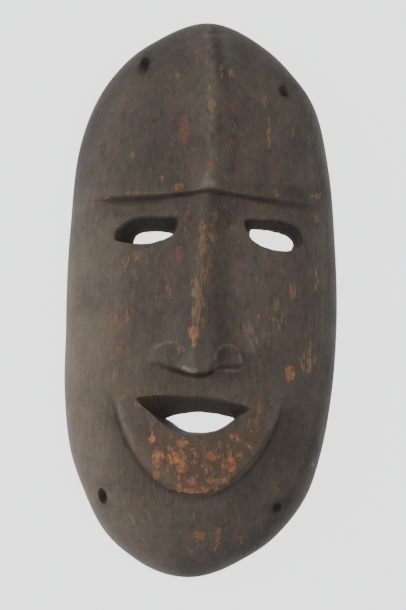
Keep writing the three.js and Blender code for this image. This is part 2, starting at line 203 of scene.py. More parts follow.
# The notch at the top of the keel and the keel's dark side, both darkened with painted shade
KEEL_NOTCH = [(0.5, 203.5), (3, 205), (6.5, 202), (8.5, 192)]
KEEL_SHADOW = [(2.4, 205), (5, 196), (9, 178), (13.3, 162), (18.4, 138), (20.5, 114), (20, 88)]

# How fine the meshes are
FACE_COLUMNS = 200
FACE_ROWS = 380
HOLLOW_COLUMNS = 60
HOLLOW_ROWS = 100
SLIT_POINTS = 120
LASHING_POINTS = 28
WALL_RINGS = 12
RIM_CROWDING = 1.1
# The rows of the face that run along the brow and along the underside of the nose: their height and spread
BROW_ROWS = (69, 18)
UNDERSIDE_ROWS = (-59, 14)
# The least height of a body above the flat face that closes it, and the level where the hollow's cutter starts
LEAST_HEIGHT = 0.3
BELOW_RIM = -5
# The circle and the climb through the noise that make a cut wall uneven
NOISE_CIRCLE = 8
NOISE_CLIMB = 9
SHARP_ANGLE = math.radians(38)

# How far below the carved face a place may lie and still count as on it, in mm
FACE_TOLERANCE = (0.3, 1.0)

# A patch is whole up to the first share of its size and gone at the second
PATCH_FADE = (0.6, 1.6)
# Worn paint: x, y, half width, half length and density of each patch
ORANGE = [
    # chin
    (-34, -105, 1.5, 5.5, 0.8), (-34, -112, 2.5, 3, 1), (-30, -125, 4, 7.5, 1), (-26, -124, 2, 3.5, 0.9),
    (-30, -138, 3, 4, 0.9), (-21, -118, 2, 2, 0.9), (-11, -114, 4.5, 3.5, 1), (-18, -125, 4.5, 4.5, 1),
    (-12, -124, 4.5, 5.5, 0.9), (-12, -132, 4, 4.5, 1), (-13, -139, 1.5, 3, 0.9), (-1, -121, 3.5, 1.5, 0.9),
    (11, -123, 5, 3.5, 1), (9, -133, 3.5, 3.5, 0.8), (25, -129, 3.5, 6.5, 1), (20, -129, 2, 4.5, 0.9),
    (-3, -142, 4.5, 3, 0.85), (11, -141, 4, 3.5, 0.85), (20, -141, 4.5, 2.5, 0.85), (-3, -149, 7.5, 2, 1),
    (6, -148, 3.5, 2.5, 0.9), (-13, -147, 2, 3.5, 0.9),
    # nose
    (6, 42, 2.5, 6.5, 0.75), (-5, -33, 4, 5, 1), (-5, 5, 3, 3.5, 0.7), (-1, 36, 1.5, 11, 0.75),
    (-5, -41, 2, 5, 0.75),
    # forehead and eyes
    (-24, 165, 2, 3, 0.8), (17, 168, 2, 4, 0.85), (-20, 77, 4, 3.5, 0.75), (-33, 84, 1.5, 3.5, 0.6),
    (-58, 20, 3, 7.5, 0.7), (-25, 0, 2, 8, 0.8), (85, 60, 2.5, 4, 0.75), (68, 3, 2.5, 8, 0.8),
    (16, 83, 1.5, 4, 0.7), (86, 12, 1.5, 7.5, 0.7),
    # cheeks and below the jaw
    (-55, -21, 1.5, 4.5, 0.85), (-59, -39, 1.5, 2.5, 0.7), (-65, -69, 1.5, 2.5, 0.7),
    (-46, -86, 2, 2.5, 0.85),
    (42, -20, 1.5, 4, 0.8), (67, -59, 3.5, 6.5, 1), (82, -50, 2, 10, 0.8), (2, -182, 3.5, 3.5, 0.85),
    (17, -181, 3, 7.5, 0.8), (-67, -26, 1.5, 7.5, 0.8), (6, -184, 8, 7, 0.45),
]
OCHRE = [
    # chin
    (24, -120, 2.5, 4, 0.8), (17, -114, 2.5, 3.5, 0.7), (31, -122, 3.5, 3.5, 0.7), (5, -125, 3.5, 7, 0.7),
    (4, -115, 3.5, 4, 0.5), (38, -116, 3, 4.5, 0.6), (-8, -119, 6, 6, 0.5), (15, -135, 6, 6, 0.45),
    (2, -144, 15, 4.5, 0.45),
    # nose
    (-1, 36, 2, 12.5, 0.8), (8, 56, 1.5, 6.5, 0.7), (5, 20, 2, 4.5, 0.85), (1, 11, 4.5, 4, 0.7),
    (-4, -1, 4, 5, 0.75), (-2, -10, 2.5, 5, 0.75), (-5, -19, 4, 6, 0.65), (2, -24, 3, 2.5, 0.6),
    (-1, 10, 6.5, 46, 0.5), (-14, -45, 4, 3, 0.75),
    # forehead and eyes
    (3, 140, 3, 5, 0.9), (1, 154, 2.5, 13.5, 0.6), (10, 169, 1.5, 6, 0.7), (47, 121, 1.5, 11, 0.8),
    (43, 149, 2, 5, 0.6), (-55, 103, 1.5, 5, 0.7), (-50, 72, 10, 1.5, 0.75), (-79, 69, 7.5, 1.5, 0.7),
    (53, 75, 2.5, 3, 0.7), (84, 76, 3.5, 1.5, 0.7), (-50, 25, 2.5, 5, 0.7), (-19, 25, 2, 7, 0.7),
    (43, 6, 3.5, 6, 0.55), (65, 125, 1.5, 5, 0.55), (21, 48, 2.5, 2.5, 0.7),
    # cheeks and below the jaw
    (-57, -81, 1.5, 3, 0.9), (56, -9, 2.5, 4.5, 0.85), (34, -32, 3, 6.5, 0.65), (45, -87, 4, 5.5, 0.7),
    (41, -99, 5, 6.5, 0.6), (-1, -167, 1.5, 3.5, 0.7), (-3, -193, 3, 3.5, 0.6), (14, -190, 3.5, 4, 0.6),
    (80, -48, 6, 12, 0.6), (57, -21, 7.5, 12, 0.5), (-64, -42, 6, 30, 0.5), (-40, -76, 16, 4, 0.5),
    (-38, -158, 14, 12, 0.4),
]
RED = [
    (26, -108, 4, 3, 0.9), (-21, -109, 1.5, 2.5, 0.9), (31, -112, 2.5, 2.5, 0.7), (-2, -118, 4.5, 1.5, 0.7),
    (16, -147, 4.5, 2, 0.8), (-13, 50, 4.5, 12, 0.55), (-19, 25, 4, 6.5, 0.6), (-17, 121, 3.5, 11, 1.1),
    (3, 92, 3, 4, 0.8), (-8, 89, 4, 5.5, 0.5), (-8, 184, 3.5, 7.5, 0.6), (19, 129, 4, 22, 0.5),
    (49, -66, 1.5, 1.5, 0.8), (34, -185, 3, 3.5, 0.6), (59, -144, 4, 5, 0.55), (88, -127, 1.5, 1.5, 0.8),
    (78, -29, 2, 2.5, 0.6), (-2, -128, 33, 22, 0.4), (8, -178, 18, 16, 0.28),
]

# The floor, just below the rim
FLOOR_GLOW = 2.2
FLOOR_HALF = 4000.0
FLOOR_DROP = 0.3

# The camera looks down on the lying mask, from a little towards the chin, with a slight roll
CAMERA_AIM = (0.924, -5.728, -0.334)
CAMERA_DISTANCE = 1500.0
CAMERA_TILT = math.radians(5)
CAMERA_ROLL = math.radians(1.7)
CAMERA_LENS = 114.06

# The square lights, which face the origin: place and side in metres, power in watts
KEY_LIGHT = dict(place=(-2.0, 0.45, 1.6), side=1.4, power=40)
FILL_LIGHT = dict(place=(1.3, -0.3, 2.2), side=2.0, power=14)
SKY_STRENGTH = 0.5


def lerp(a, b, t):
    return a + (b - a) * t


def ease(t):
    return t * t * (3 - 2 * t)


def smoothstep(value, low, high):
    return ease(np.clip((value - low) / (high - low), 0, 1))


def bell(distance, width):
    return np.exp(-((distance / width) ** 2))


def round_form(form, x, y):
    return bell(x - form["x"], form["half_width"]) * bell(y - form["y"], form["half_length"])


def soft_noise(x, y, size_x, size_y, seed):
    """Random swells about size_x by size_y mm, from -1 to 1."""
    cells = 256
    lattice = np.random.default_rng(seed).uniform(-1, 1, (cells, cells))
    u = np.asarray(x) / size_x
    v = np.asarray(y) / size_y
    i = np.floor(u).astype(int)
    j = np.floor(v).astype(int)
    s = smoothstep(u - i, 0, 1)
    t = smoothstep(v - j, 0, 1)
    low = lerp(lattice[i % cells, j % cells], lattice[(i + 1) % cells, j % cells], s)
    high = lerp(lattice[i % cells, (j + 1) % cells], lattice[(i + 1) % cells, (j + 1) % cells], s)
    return lerp(low, high, t)


def through_knots(places, values, at):
    """A smooth curve through the knots, read at the given places; the first and last knots only steer it."""
    i = np.clip(np.searchsorted(places, at, side="right") - 1, 1, len(places) - 3)
    span = places[i + 1] - places[i]
    t = (at - places[i]) / span
    slope_from = (values[i + 1] - values[i - 1]) / (places[i + 1] - places[i - 1]) * span
    slope_to = (values[i + 2] - values[i]) / (places[i + 2] - places[i]) * span
    curve = lerp(values[i], values[i + 1], ease(t))
    return curve + slope_from * t * (1 - t) ** 2 - slope_to * t * t * (1 - t)


def outline_knots():
    knots = sorted(
        (math.atan2(y / HALF_LENGTH, x / HALF_WIDTH), math.hypot(x / HALF_WIDTH, y / HALF_LENGTH))
        for x, y in OUTLINE
    )
    angles = np.array([angle for angle, _ in knots])
    factors = np.array([factor for _, factor in knots])
    return np.concatenate([angles - FULL_TURN, angles, angles + FULL_TURN]), np.tile(factors, 3)


OUTLINE_ANGLES, OUTLINE_FACTORS = outline_knots()


def bulge_at(angle):
    return through_knots(OUTLINE_ANGLES, OUTLINE_FACTORS, angle)


def reach(x, y, half_width=HALF_WIDTH, half_length=HALF_LENGTH):
    """0 in the middle of the oval, 1 on its outline."""
    u = x / half_width
    v = y / half_length
    return np.hypot(u, v) / bulge_at(np.arctan2(v, u))


def shell(share, height):
    return height * np.maximum(0, 1 - np.minimum(share, 1) ** SHELL_ROUNDNESS) ** (1 / SHELL_ROUNDNESS)


def line_through(points):
    """A smooth line through the points, as a function of x that keeps its end values beyond them."""
    first, second = points[0], points[1]
    last, before = points[-1], points[-2]
    knots = [(2 * first[0] - second[0], first[1]), *points, (2 * last[0] - before[0], last[1])]
    places, values = np.array(knots, float).T
    end = last[0] - 1e-6
    return lambda x: through_knots(places, values, np.clip(x, first[0], end))


brow_foot = line_through([(x, foot) for x, foot, _ in BROW])
brow_edge = line_through([(x, edge) for x, _, edge in BROW])
underside_foot = line_through(UNDERSIDE)


def above_brow(x, y):
    return smoothstep(y, brow_foot(x), brow_edge(x))


def brow_presence(x):
    return (1 - smoothstep(x, *BROW_RIGHT_END)) * (1 - smoothstep(-x, *BROW_LEFT_END))


def forehead(x, y):
    fade = 1 - smoothstep(y - brow_edge(x), 0, FOREHEAD_FADE)
    return FOREHEAD_RAISE * above_brow(x, y) * brow_presence(x) * fade


def eye_recess(x, y):
    fade = 1 - smoothstep(brow_foot(x) - y, 0, EYE_RECESS_FADE)
    beside_nose = 1 - NOSE_ROOT_SHARE * bell(x - NOSE_ROOT["x"], NOSE_ROOT["left"])
    return -EYE_RECESS * (1 - above_brow(x, y)) * brow_presence(x) * fade * beside_nose


def keel_line(y):
    return lerp(KEEL_X, KEEL_TOP_X, smoothstep(y, *KEEL_BEND))


def keel(x, y):
    dx = x - keel_line(y)
    side = bell(dx, np.where(dx < 0, KEEL_LEFT, KEEL_RIGHT))
    top = 1 - smoothstep(y, KEEL_TOP_Y - KEEL_TOP_SLOPE, KEEL_TOP_Y)
    up = np.clip((y - brow_edge(x)) / BOSS_LENGTH, 0, 1)
    past = np.abs(x - BOSS_X) - BOSS_HALF_WIDTH * (1 - up)
    boss = (1 - smoothstep(past, -BOSS_SOFTNESS, BOSS_SOFTNESS)) * (1 - smoothstep(up, *BOSS_FADE))
    return (KEEL_RAISE * side * top + BOSS_RAISE * boss) * above_brow(x, y)


def bridge(x, y):
    t = np.clip((NOSE_ROOT["y"] - y) / (NOSE_ROOT["y"] - NOSE_END["y"]), 0, 1)
    dx = x - lerp(NOSE_ROOT["x"], NOSE_END["x"], t)
    left = lerp(NOSE_ROOT["left"], NOSE_END["left"], t)
    right = lerp(NOSE_ROOT["right"], NOSE_END["right"], t)
    rise = lerp(NOSE_ROOT["rise"], NOSE_END["rise"], t**NOSE_SLOPE)
    return rise * bell(dx, np.where(dx < 0, left, right)) * (1 - above_brow(x, y))


def lobe(form, x, y):
    out = ((x - form["x"]) / form["half_width"]) ** 2 + ((y - form["y"]) / form["half_length"]) ** 2
    return form["rise"] * np.maximum(0, 1 - out) ** form["roundness"]


def nose(x, y):
    parts = [bridge(x, y)] + [lobe(form, x, y) for form in (NOSE_TIP, LEFT_WING, RIGHT_WING)]
    blended = sum(part**NOSE_BLEND for part in parts) ** (1 / NOSE_BLEND)
    foot = underside_foot(x)
    return blended * smoothstep(y, foot, foot + UNDERSIDE_DEPTH)


def inside_jaw(x, y):
    across = np.abs(x - JAW_X) / JAW_HALF_WIDTH
    down = np.maximum(0, JAW_TOP_Y - y) / JAW_LENGTH
    return (1 - (across**JAW_POINT + down**JAW_POINT) ** (1 / JAW_POINT)) * JAW_HALF_WIDTH


def jaw_presence(y):
    return 1 - smoothstep(y, *JAW_FADE)


def jaw(x, y):
    inside = inside_jaw(x, y)
    step = JAW_RAISE * (1 - (1 - np.clip(inside / JAW_EDGE, 0, 1)) ** 2)
    groove = GROOVE_DEPTH * np.exp(-np.abs(inside) / np.where(inside < 0, GROOVE_OUTSIDE, GROOVE_INSIDE))
    chin = CHIN["rise"] * round_form(CHIN, x, y) * smoothstep(inside, 0, CHIN["inside"])
    return (step - groove) * jaw_presence(y) + chin


def face_height(x, y):
    share = reach(x, y)
    carving = forehead(x, y) + eye_recess(x, y) + keel(x, y) + nose(x, y) + jaw(x, y)
    carving = carving + CHEEK["rise"] * round_form(CHEEK, np.abs(x), y)
    return shell(share, SHELL_HEIGHT) + carving * (1 - smoothstep(share, FACE_END, FLANK_START))


def hollow_height(x, y):
    return shell(reach(x, y, HALF_WIDTH - RIM_WIDTH, HALF_LENGTH - RIM_WIDTH), SHELL_HEIGHT - WALL)


def smooth_loop(points, count):
    """Places along a closed centripetal Catmull-Rom curve through the points."""
    points = np.asarray(points, float)
    places = np.arange(count) * len(points) / count
    i = np.floor(places).astype(int)
    t = (places - i)[:, None]
    before, start, end, after = (points[(i + k) % len(points)] for k in (-1, 0, 1, 2))

    def gap(a, b):
        return np.sqrt(np.linalg.norm(b - a, axis=1))[:, None]

    g0, g1, g2 = gap(before, start), gap(start, end), gap(end, after)
    slope_start = ((start - before) / g0 - (end - before) / (g0 + g1) + (end - start) / g1) * g1
    slope_end = ((end - start) / g1 - (after - start) / (g1 + g2) + (after - end) / g2) * g1
    curve = lerp(start, end, ease(t))
    return curve + slope_start * t * (1 - t) ** 2 - slope_end * t * t * (1 - t)


def ring_on(outline, height, count):
    return smooth_loop([(x, y, float(height(np.float64(x), np.float64(y)))) for x, y in outline], count)


SLITS = [
    (ring_on(slit["face"], face_height, SLIT_POINTS), ring_on(slit["back"], hollow_height, SLIT_POINTS))
    for slit in (LEFT_EYE, RIGHT_EYE, MOUTH)
]


def slit_distance(x, y):
    """How far a place on the face is from the nearest edge of an eye or the mouth."""
    nearest = np.full(np.shape(x), 1e9)
    for face, _ in SLITS:
        for px, py, _ in face:
            nearest = np.minimum(nearest, (x - px) ** 2 + (y - py) ** 2)
    return np.sqrt(nearest)


def line_distance(points, x, y):
    """How far a place is from a line through the points, in mm."""
    nearest = np.full(np.shape(x), 1e9)
    for (x0, y0), (x1, y1) in zip(points, points[1:]):
        dx, dy = x1 - x0, y1 - y0
        along = np.clip(((x - x0) * dx + (y - y0) * dy) / (dx**2 + dy**2), 0, 1)
        nearest = np.minimum(nearest, np.hypot(x - lerp(x0, x1, along), y - lerp(y0, y1, along)))
    return nearest


def wing_arcs(x, y):
    return sum(bell(line_distance(arc, x, y), WING_RIDGE_WIDTH) for arc in (LEFT_ARC, RIGHT_ARC))


def nose_cleft(x, y):
    return bell(line_distance(NOSE_CLEFT, x, y), CLEFT_WIDTH)


def hand_work(x, y):
    """Tool facets, raised grain, worn lips, wing ridges and knife cuts, as a height on the main forms."""
    facets = soft_noise(x, y, 13, 24, 1) + 0.6 * soft_noise(x + 0.3 * y, y, 8, 15, 2)
    grain = soft_noise(x + 0.02 * y, y, 2.2, 45, 3) + 0.7 * soft_noise(x, y, 3.5, 30, 4)
    lip = -LIP_DROP * (1 - smoothstep(slit_distance(x, y), 0, LIP_WIDTH))
    crease = CREASE_DEPTH * (bell(line_distance(JAW_CUT, x, y), CREASE_WIDTH) + nose_cleft(x, y))
    return FACET_DEPTH * facets + GRAIN_DEPTH * grain + lip + WING_RIDGE * wing_arcs(x, y) - crease


def carved_height(x, y):
    fade = 1 - smoothstep(reach(x, y), *FACE_WORK_FADE)
    return face_height(x, y) + hand_work(x, y) * fade


def hollow_carved_height(x, y):
    share = reach(x, y, HALF_WIDTH - RIM_WIDTH, HALF_LENGTH - RIM_WIDTH)
    fade = 1 - smoothstep(share, *HOLLOW_WORK_FADE)
    gouges = soft_noise(x, y, 14, 20, 11) + 0.5 * soft_noise(x, y, 7, 12, 12)
    return hollow_height(x, y) + GOUGE_DEPTH * gouges * fade


def spaced_lines(count, density):
    """Places from -1 to 1, closer together where the density is high."""
    fine = np.linspace(-1, 1, 4001)
    sums = np.concatenate([[0], np.cumsum(density((fine[1:] + fine[:-1]) / 2))])
    return np.interp(np.linspace(0, sums[-1], count + 1), sums, fine)


def oval_grid(half_width, half_length, columns, rows):
    """A grid of places bent into the oval, its outer lines on the outline and crowding towards it."""
    a, b = np.meshgrid(columns, rows)
    u = a * np.sqrt(1 - b * b / 2)
    v = b * np.sqrt(1 - a * a / 2)
    out = np.maximum(np.hypot(u, v), 1e-9)
    scale = bulge_at(np.arctan2(v, u)) * np.sin(out * RIM_CROWDING) / math.sin(RIM_CROWDING) / out
    return u * scale * half_width, v * scale * half_length


def mesh_object(name, places, faces):
    mesh = bpy.data.meshes.new(name)
    mesh.from_pydata((np.asarray(places) * MM).tolist(), [], faces)
    mesh.update()
    thing = bpy.data.objects.new(name, mesh)
    bpy.context.scene.collection.objects.link(thing)
    return thing


def dome(name, x, y, height, base):
    """A closed body: the grid raised to its heights, and one flat face that closes it below."""
    rows, columns = x.shape
    z = np.maximum(base + LEAST_HEIGHT, height(x, y))
    for edge in (np.s_[0, :], np.s_[-1, :], np.s_[:, 0], np.s_[:, -1]):
        z[edge] = base
    places = np.stack([x, y, z], -1).reshape(-1, 3)
    index = np.arange(rows * columns).reshape(rows, columns)
    quads = np.stack([index[:-1, :-1], index[:-1, 1:], index[1:, 1:], index[1:, :-1]], -1).reshape(-1, 4)
    rim = [*index[0, :-1], *index[:-1, -1], *index[-1, :0:-1], *index[:0:-1, 0]]
    return mesh_object(name, places, quads.tolist() + [[int(k) for k in reversed(rim)]])


def ring_body(name, rings):
    """A closed body through rings of places, all with the same count and running clockwise from above."""
    count = len(rings[0])
    faces = []
    for level in range(len(rings) - 1):
        for k in range(count):
            n = (k + 1) % count
            a, b = level * count, (level + 1) * count
            faces.append([a + k, a + n, b + n, b + k])
    faces.append([(len(rings) - 1) * count + k for k in range(count)])
    faces.append(list(reversed(range(count))))
    return mesh_object(name, np.concatenate(rings), faces)


def wall_rings(front, rear, roughness, seed):
    """Rings from one outline to the other, made uneven as a knife leaves them."""
    rings = []
    count = len(front)
    around = FULL_TURN * (np.arange(count) / count)
    for level in range(WALL_RINGS + 1):
        share = level / WALL_RINGS
        ring = lerp(front, rear, share)
        middle = ring.mean(0)
        out = ring - middle
        out[:, 2] = 0
        out /= np.linalg.norm(out, axis=1)[:, None]
        # The noise meets itself where the ring closes.
        u = NOISE_CIRCLE * np.sin(around)
        v = NOISE_CIRCLE * np.cos(around) + NOISE_CLIMB * share
        uneven = soft_noise(u, v, 1, 1, seed)
        rings.append(ring + out * roughness * uneven[:, None])
    return rings


def slit_cutter(name, face, back, seed):
    front = face + (face - back) * BEYOND_FACE
    rear = back + (back - face) * BEYOND_HOLLOW
    return ring_body(name, wall_rings(front, rear, SLIT_UNEVENNESS, seed))


def lashing_cutter(name, hole, seed):
    x, y = hole["at"]
    inward = np.array([-x / HALF_WIDTH, -y / HALF_LENGTH, 0])
    inward /= np.linalg.norm(inward)
    bore = inward * LASHING_SLANT + np.array([0, 0, -1])
    bore /= np.linalg.norm(bore)
    turn = math.radians(hole["turn"])
    long = np.array([math.cos(turn), math.sin(turn), 0])
    wide = np.array([-math.sin(turn), math.cos(turn), 0])
    angle = -FULL_TURN * np.arange(LASHING_POINTS)[:, None] / LASHING_POINTS
    oval = long * hole["half_length"] * np.cos(angle) + wide * hole["half_width"] * np.sin(angle)
    front = np.array([x, y, 0]) + oval
    front[:, 2] = face_height(front[:, 0], front[:, 1])
    rear = front + bore * LASHING_LENGTH
    outward = front - rear
    start = front + outward * BEYOND_FACE
    end = rear - outward * BEYOND_HOLLOW
    return ring_body(name, wall_rings(start, end, LASHING_UNEVENNESS, seed))


def cut(body, cutter):
    modifier = body.modifiers.new("cut", "BOOLEAN")
    modifier.operation = "DIFFERENCE"
    modifier.solver = "EXACT"
    modifier.object = cutter
    bpy.context.view_layer.objects.active = body
    with bpy.context.temp_override(object=body, active_object=body, selected_objects=[body]):
        bpy.ops.object.modifier_apply(modifier=modifier.name)
    bpy.data.objects.remove(cutter)


def follow_line(x, y, line, level, width):
    """Bend the rows near a height y = level so that they run along the line, except towards the outline."""
    middle = (1 - smoothstep(reach(x, y), 0.8, 1)) * bell(y - level, width)
    return y + (line(x) - level) * middle


def carve_mask():
    # The columns are closest in the middle, and the rows at the brow and at the underside of the nose.
    columns = spaced_lines(FACE_COLUMNS, lambda a: 1 + 0.7 * bell(a, 0.3))
    rows = spaced_lines(FACE_ROWS, lambda b: 1 + 2 * bell(b - 0.26, 0.04) + 1.5 * bell(b + 0.2, 0.08))
    x, y = oval_grid(HALF_WIDTH, HALF_LENGTH, columns, rows)
    y = follow_line(x, y, brow_foot, *BROW_ROWS)
    y = follow_line(x, y, underside_foot, *UNDERSIDE_ROWS)
    mask = dome("carved_mask", x, y, carved_height, 0)
    columns = np.linspace(-1, 1, HOLLOW_COLUMNS + 1)
    rows = np.linspace(-1, 1, HOLLOW_ROWS + 1)
    x, y = oval_grid(HALF_WIDTH - RIM_WIDTH, HALF_LENGTH - RIM_WIDTH, columns, rows)
    cut(mask, dome("hollow", x, y, hollow_carved_height, BELOW_RIM))
    for number, (face, back) in enumerate(SLITS):
        cut(mask, slit_cutter("slit", face, back, 20 + number))
    for number, hole in enumerate(LASHING_HOLES):
        cut(mask, lashing_cutter("lashing", hole, 30 + number))
    mask.data.shade_smooth()
    mask.data.set_sharp_from_angle(angle=SHARP_ANGLE)
    return mask


def paint_density(patches, x, y):
    clear = np.ones(np.shape(x))
    for px, py, half_width, half_length, density in patches:
        out = np.hypot((x - px) / half_width, (y - py) / half_length)
        clear = clear * (1 - density * (1 - smoothstep(out, *PATCH_FADE)))
    return 1 - clear


def band(value, low, high, soft):
    """1 between low and high, fading to 0 over the soft width on both sides."""
    return smoothstep(value, low - soft, low) * (1 - smoothstep(value, high, high + soft))


def brow_shade(x, y):
    """The painted shade under the brow: broad on the left, thin in the middle and soft on the right."""
    edge = brow_edge(x)
    point = smoothstep(-x, 64, 80)
    strength = lerp(0.65, 0.42, smoothstep(x, -72, -50))
    left = strength * band(y, edge - lerp(6.5, 2, point), edge - lerp(1, -0.8, point), 0.9)
    left = left + 0.3 * band(y, edge - 14, edge - 4, 3) * band(x, -74, -36, 8)
    middle = 0.12 * band(y, edge - 3.2, edge - 1.0, 0.8)
    right = 0.42 * band(y, edge - 4.0, edge - 1.2, 1.8)
    darkening = lerp(lerp(left, middle, smoothstep(x, -38, -22)), right, smoothstep(x, 18, 42))
    return darkening * (1 - smoothstep(-x, 78, 84)) * (1 - smoothstep(x, *BROW_RIGHT_END))


def nose_shade(x, y):
    """Painted shade under the nose: deep below its end, fading under the left wing, thin under the right one,
    and in the cleft.
    """
    above = y - underside_foot(x)
    deep = band(above, -1.2, 1.2, 1.0) * smoothstep(x, -34, -18) * (1 - smoothstep(x, 5, 12))
    thin = 0.5 * band(above, -0.5, 0.9, 0.8) * band(x, 9, 27, 4)
    return deep + thin + 0.6 * nose_cleft(x, y)


def jaw_shade(x, y):
    """Painted shade at the foot of the jaw, on its soft outer side on the right, and in the knife's cut there.
    """
    inside = inside_jaw(x, y)
    line = 0.35 * bell(inside + 0.5, 1.6)
    beside = 0.4 * bell(inside + 8, 9) * smoothstep(x, 0, 50)
    cut_line = 0.85 * bell(line_distance(JAW_CUT, x, y), 1)
    left_line = 0.3 * bell(inside + 1, 1.4) * smoothstep(-x, 15, 35)
    return (line + beside + left_line) * jaw_presence(y) + cut_line


def hole_dirt(x, y):
    """A soft dirty ring round each lashing hole."""
    darkening = 0
    for hole in LASHING_HOLES:
        turn = math.radians(hole["turn"])
        dx, dy = x - hole["at"][0], y - hole["at"][1]
        along = (dx * math.cos(turn) + dy * math.sin(turn)) / hole["half_length"]
        across = (dy * math.cos(turn) - dx * math.sin(turn)) / hole["half_width"]
        past = (np.hypot(along, across) - 1) * hole["half_width"]
        darkening = darkening + bell(np.maximum(past, 0), 2.2)
    return darkening


def dirt_and_painted_shade(x, y):
    """Painted shade on the flanks, the right side, the crown, the forehead, round the keel and beside the
    nose; darker above the brow's ends and on the chin; dirty rings round the holes.
    """
    right = 0.5 * smoothstep(x, 45, 95)
    low_right = 0.25 * smoothstep(x, 10, 60) * smoothstep(-y, 80, 130)
    low_left = smoothstep(-x, 0, 40) * (1 - smoothstep(y, 10, 110))
    flank = 0.8 * smoothstep(reach(x, y), 0.86, 0.99) * (1 - low_left) * (1 - 0.6 * smoothstep(y, 140, 195))
    crown = 0.2 * smoothstep(y, 130, 210)
    forehead = 0.18 * smoothstep(x, 8, 30) + 0.25 * smoothstep(-x, 0, 30)
    keel_top = 0.38 * bell(x - keel_line(y) + 3, 8) * smoothstep(y, 80, 140)
    keel_side = 0.35 * bell(line_distance(KEEL_SHADOW, x, y), 3.5) * smoothstep(y, 70, 110)
    nose_sides = (0.25 * bell(x - 17, 6) + 0.46 * bell(x + 11, 9)) * band(y, -45, 60, 14)
    total = right + low_right + flank + crown + forehead * smoothstep(y, 68, 84) + keel_top + keel_side
    brow_top = 0.28 * band(y, 71, 80, 3) * (band(x, 35, 70, 10) + band(-x, 62, 78, 5))
    total = total + brow_top + nose_sides + 0.2 * round_form(CHIN, x, y) + 0.4 * hole_dirt(x, y)
    return np.clip(total, 0, 0.95)


def rubbing_and_painted_highlight(x, y):
    """Painted highlights on the wing arcs, the keel's crest, the end of the nose and the jaw's left ridge;
    lighter on the boss and in a strip under the right wing; and light scratches.
    """
    crest = 0.15 * bell(x - keel_line(y) + 5, 4) * smoothstep(y, 76, 90)
    boss = 0.25 * (1 - smoothstep(np.abs(x - BOSS_X) + 0.55 * (y - 76), 4, 10)) * smoothstep(y, 75, 78)
    nose_end = bell(line_distance(NOSE_END_LINE, x, y), 1.7)
    strip = 0.35 * bell(line_distance(WING_STRIP, x, y), 1.1)
    scratches = 0.4 * sum(bell(line_distance(line, x, y), 0.9) for line in SCRATCHES)
    ridge = 0.32 * bell(line_distance(JAW_RIDGE, x, y), 1.6)
    return np.clip(0.32 * wing_arcs(x, y) + crest + boss + nose_end + strip + ridge + scratches, 0, 1)


def wall_tone(x, y, z):
    """How dark a cut wall is, from dark cut wood and painted shade: most in the eyes; less high in the mouth,
    towards the mouth's right end, which faces the light, in lashing holes and the hollow.
    """
    to_right = lerp(0.3, 0.7, smoothstep(x, 22, 38))
    to_top = lerp(0.2, 1, smoothstep(y, -106, -96))
    mouth = bell(y + 93, 20) * to_right * to_top
    ends = 0.6 * smoothstep(np.abs(y), 135, 150)
    back = 0.6 * (1 - smoothstep(z - hollow_height(x, y), 0.8, 3))
    return 1 - np.maximum(np.maximum(mouth, ends), back)


def fading(x, y):
    """How faded the paint is: least on the chin, then in a spot on the right cheek and at the nose's end."""
    chin = smoothstep(-y, 98, 108) * smoothstep(inside_jaw(x, y), -2, 4)
    nose_end = bell(np.hypot(x + 5, y + 34), 9)
    cheek_spot = bell(np.hypot(x - 67, y + 59), 8)
    return 1 - np.maximum(np.maximum(chin, 0.4 * nose_end), 0.6 * cheek_spot)


def colour_attribute(mesh, name, channels):
    attribute = mesh.color_attributes.new(name, "FLOAT_COLOR", "POINT")
    values = np.ones((len(mesh.vertices), 4), np.float32)
    values[:, :3] = np.clip(np.stack(channels, -1), 0, 1)
    attribute.data.foreach_set("color", values.ravel())


def mark_surface(mask):
    """Store what the wood's material reads, in three channels each.

    Paint is orange, ochre and red. Then painted shade, dusty wood with painted light, and cut wall. Then grime
    with painted shade, rubbing with painted highlights, and fading.
    """
    mesh = mask.data
    places = np.empty(len(mesh.vertices) * 3)
    mesh.vertices.foreach_get("co", places)
    x, y, z = places.reshape(-1, 3).T / MM
    on_face = 1 - smoothstep(carved_height(x, y) - z, *FACE_TOLERANCE)
    paint = [paint_density(patches, x, y) * on_face for patches in (ORANGE, OCHRE, RED)]
    # Painted shade under the brow, the nose and the jaw, and in the notch at the top of the keel
    keel_notch = 0.45 * bell(line_distance(KEEL_NOTCH, x, y), 1.6)
    shade = np.clip(brow_shade(x, y) + nose_shade(x, y) + jaw_shade(x, y) + keel_notch, 0, 1) * on_face
    # Dusty wood with painted light: lighter on the left side, which faces the light, and less towards the
    # crown
    dust_and_painted_light = smoothstep(-x, 12, 95) * (1 - 0.85 * smoothstep(y, -115, 90)) * on_face
    # Cut walls: dark cut wood with painted shade
    cut_wall = (1 - on_face) * wall_tone(x, y, z)
    faded = 1 - (1 - fading(x, y)) * on_face
    colour_attribute(mesh, "paint", paint)
    colour_attribute(mesh, "painted_shade_dust_walls", [shade, dust_and_painted_light, cut_wall])
    colour_attribute(mesh, "age_and_painted_light", [dirt_and_painted_shade(x, y) * on_face, rubbing_and_painted_highlight(x, y) * on_face, faded])


# The numbers of a Mix node's sockets for colours: share, first and second colour, and result
MIX_SHARE = 0
MIX_FIRST = 6
MIX_SECOND = 7
MIX_RESULT = 2


